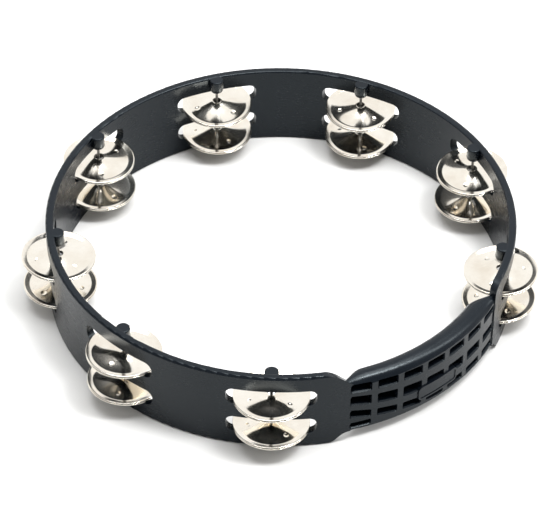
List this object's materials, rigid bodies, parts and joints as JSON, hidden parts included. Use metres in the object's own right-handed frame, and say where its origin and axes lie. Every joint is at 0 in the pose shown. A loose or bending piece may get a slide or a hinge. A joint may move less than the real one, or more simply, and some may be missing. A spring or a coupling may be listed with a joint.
{
  "type": "tambourine",
  "caption": "Headless hand tambourine: moulded ring with a ribbed grip and a double row of paired metal jingles sliding on steel pins in slots.",
  "frame": {"origin": "on the ring's axis, in the plane that the ring lies on", "axes": "+Z along the ring's axis, up out of the surface it lies on; the grip is centred 1.9 degrees from -Y towards +X; +X to the right seen from the grip"},
  "size_m": [0.2782, 0.2607, 0.0491],
  "materials": {
    "frame": "satin black moulded ABS",
    "pin": "drawn steel wire",
    "jingle": "bright warm nickel plate on pressed steel"
  },
  "bodies": {
    "frame": {"frame": "frame", "pin_1": "pin", "pin_2": "pin", "pin_3": "pin", "pin_4": "pin", "pin_5": "pin", "pin_6": "pin", "pin_7": "pin", "pin_8": "pin"},
    "jingle_1_bottom_under": {"jingle_1_bottom_under": "jingle"},
    "jingle_1_bottom_over": {"jingle_1_bottom_over": "jingle"},
    "jingle_1_top_under": {"jingle_1_top_under": "jingle"},
    "jingle_1_top_over": {"jingle_1_top_over": "jingle"},
    "jingle_2_bottom_under": {"jingle_2_bottom_under": "jingle"},
    "jingle_2_bottom_over": {"jingle_2_bottom_over": "jingle"},
    "jingle_2_top_under": {"jingle_2_top_under": "jingle"},
    "jingle_2_top_over": {"jingle_2_top_over": "jingle"},
    "jingle_3_bottom_under": {"jingle_3_bottom_under": "jingle"},
    "jingle_3_bottom_over": {"jingle_3_bottom_over": "jingle"},
    "jingle_3_top_under": {"jingle_3_top_under": "jingle"},
    "jingle_3_top_over": {"jingle_3_top_over": "jingle"},
    "jingle_4_bottom_under": {"jingle_4_bottom_under": "jingle"},
    "jingle_4_bottom_over": {"jingle_4_bottom_over": "jingle"},
    "jingle_4_top_under": {"jingle_4_top_under": "jingle"},
    "jingle_4_top_over": {"jingle_4_top_over": "jingle"},
    "jingle_5_bottom_under": {"jingle_5_bottom_under": "jingle"},
    "jingle_5_bottom_over": {"jingle_5_bottom_over": "jingle"},
    "jingle_5_top_under": {"jingle_5_top_under": "jingle"},
    "jingle_5_top_over": {"jingle_5_top_over": "jingle"},
    "jingle_6_bottom_under": {"jingle_6_bottom_under": "jingle"},
    "jingle_6_bottom_over": {"jingle_6_bottom_over": "jingle"},
    "jingle_6_top_under": {"jingle_6_top_under": "jingle"},
    "jingle_6_top_over": {"jingle_6_top_over": "jingle"},
    "jingle_7_bottom_under": {"jingle_7_bottom_under": "jingle"},
    "jingle_7_bottom_over": {"jingle_7_bottom_over": "jingle"},
    "jingle_7_top_under": {"jingle_7_top_under": "jingle"},
    "jingle_7_top_over": {"jingle_7_top_over": "jingle"},
    "jingle_8_bottom_under": {"jingle_8_bottom_under": "jingle"},
    "jingle_8_bottom_over": {"jingle_8_bottom_over": "jingle"},
    "jingle_8_top_under": {"jingle_8_top_under": "jingle"},
    "jingle_8_top_over": {"jingle_8_top_over": "jingle"}
  },
  "joints": [
    {"name": "slide_1_bottom_under", "type": "slide", "parent": "frame", "child": "jingle_1_bottom_under", "axis": [0, 0, 1], "range_m": [0, 0.00275]},
    {"name": "slide_1_bottom_over", "type": "slide", "parent": "jingle_1_bottom_under", "child": "jingle_1_bottom_over", "axis": [0, 0, 1], "range_m": [0, 0.00275]},
    {"name": "slide_1_top_under", "type": "slide", "parent": "frame", "child": "jingle_1_top_under", "axis": [0, 0, 1], "range_m": [0, 0.00275]},
    {"name": "slide_1_top_over", "type": "slide", "parent": "jingle_1_top_under", "child": "jingle_1_top_over", "axis": [0, 0, 1], "range_m": [0, 0.00275]},
    {"name": "slide_2_bottom_under", "type": "slide", "parent": "frame", "child": "jingle_2_bottom_under", "axis": [0, 0, 1], "range_m": [0, 0.00275]},
    {"name": "slide_2_bottom_over", "type": "slide", "parent": "jingle_2_bottom_under", "child": "jingle_2_bottom_over", "axis": [0, 0, 1], "range_m": [0, 0.00275]},
    {"name": "slide_2_top_under", "type": "slide", "parent": "frame", "child": "jingle_2_top_under", "axis": [0, 0, 1], "range_m": [0, 0.00275]},
    {"name": "slide_2_top_over", "type": "slide", "parent": "jingle_2_top_under", "child": "jingle_2_top_over", "axis": [0, 0, 1], "range_m": [0, 0.00275]},
    {"name": "slide_3_bottom_under", "type": "slide", "parent": "frame", "child": "jingle_3_bottom_under", "axis": [0, 0, 1], "range_m": [0, 0.00275]},
    {"name": "slide_3_bottom_over", "type": "slide", "parent": "jingle_3_bottom_under", "child": "jingle_3_bottom_over", "axis": [0, 0, 1], "range_m": [0, 0.00275]},
    {"name": "slide_3_top_under", "type": "slide", "parent": "frame", "child": "jingle_3_top_under", "axis": [0, 0, 1], "range_m": [0, 0.00275]},
    {"name": "slide_3_top_over", "type": "slide", "parent": "jingle_3_top_under", "child": "jingle_3_top_over", "axis": [0, 0, 1], "range_m": [0, 0.00275]},
    {"name": "slide_4_bottom_under", "type": "slide", "parent": "frame", "child": "jingle_4_bottom_under", "axis": [0, 0, 1], "range_m": [0, 0.00275]},
    {"name": "slide_4_bottom_over", "type": "slide", "parent": "jingle_4_bottom_under", "child": "jingle_4_bottom_over", "axis": [0, 0, 1], "range_m": [0, 0.00275]},
    {"name": "slide_4_top_under", "type": "slide", "parent": "frame", "child": "jingle_4_top_under", "axis": [0, 0, 1], "range_m": [0, 0.00275]},
    {"name": "slide_4_top_over", "type": "slide", "parent": "jingle_4_top_under", "child": "jingle_4_top_over", "axis": [0, 0, 1], "range_m": [0, 0.00275]},
    {"name": "slide_5_bottom_under", "type": "slide", "parent": "frame", "child": "jingle_5_bottom_under", "axis": [0, 0, 1], "range_m": [0, 0.00275]},
    {"name": "slide_5_bottom_over", "type": "slide", "parent": "jingle_5_bottom_under", "child": "jingle_5_bottom_over", "axis": [0, 0, 1], "range_m": [0, 0.00275]},
    {"name": "slide_5_top_under", "type": "slide", "parent": "frame", "child": "jingle_5_top_under", "axis": [0, 0, 1], "range_m": [0, 0.00275]},
    {"name": "slide_5_top_over", "type": "slide", "parent": "jingle_5_top_under", "child": "jingle_5_top_over", "axis": [0, 0, 1], "range_m": [0, 0.00275]},
    {"name": "slide_6_bottom_under", "type": "slide", "parent": "frame", "child": "jingle_6_bottom_under", "axis": [0, 0, 1], "range_m": [0, 0.00275]},
    {"name": "slide_6_bottom_over", "type": "slide", "parent": "jingle_6_bottom_under", "child": "jingle_6_bottom_over", "axis": [0, 0, 1], "range_m": [0, 0.00275]},
    {"name": "slide_6_top_under", "type": "slide", "parent": "frame", "child": "jingle_6_top_under", "axis": [0, 0, 1], "range_m": [0, 0.00275]},
    {"name": "slide_6_top_over", "type": "slide", "parent": "jingle_6_top_under", "child": "jingle_6_top_over", "axis": [0, 0, 1], "range_m": [0, 0.00275]},
    {"name": "slide_7_bottom_under", "type": "slide", "parent": "frame", "child": "jingle_7_bottom_under", "axis": [0, 0, 1], "range_m": [0, 0.00275]},
    {"name": "slide_7_bottom_over", "type": "slide", "parent": "jingle_7_bottom_under", "child": "jingle_7_bottom_over", "axis": [0, 0, 1], "range_m": [0, 0.00275]},
    {"name": "slide_7_top_under", "type": "slide", "parent": "frame", "child": "jingle_7_top_under", "axis": [0, 0, 1], "range_m": [0, 0.00275]},
    {"name": "slide_7_top_over", "type": "slide", "parent": "jingle_7_top_under", "child": "jingle_7_top_over", "axis": [0, 0, 1], "range_m": [0, 0.00275]},
    {"name": "slide_8_bottom_under", "type": "slide", "parent": "frame", "child": "jingle_8_bottom_under", "axis": [0, 0, 1], "range_m": [0, 0.00275]},
    {"name": "slide_8_bottom_over", "type": "slide", "parent": "jingle_8_bottom_under", "child": "jingle_8_bottom_over", "axis": [0, 0, 1], "range_m": [0, 0.00275]},
    {"name": "slide_8_top_under", "type": "slide", "parent": "frame", "child": "jingle_8_top_under", "axis": [0, 0, 1], "range_m": [0, 0.00275]},
    {"name": "slide_8_top_over", "type": "slide", "parent": "jingle_8_top_under", "child": "jingle_8_top_over", "axis": [0, 0, 1], "range_m": [0, 0.00275]}
  ]
}
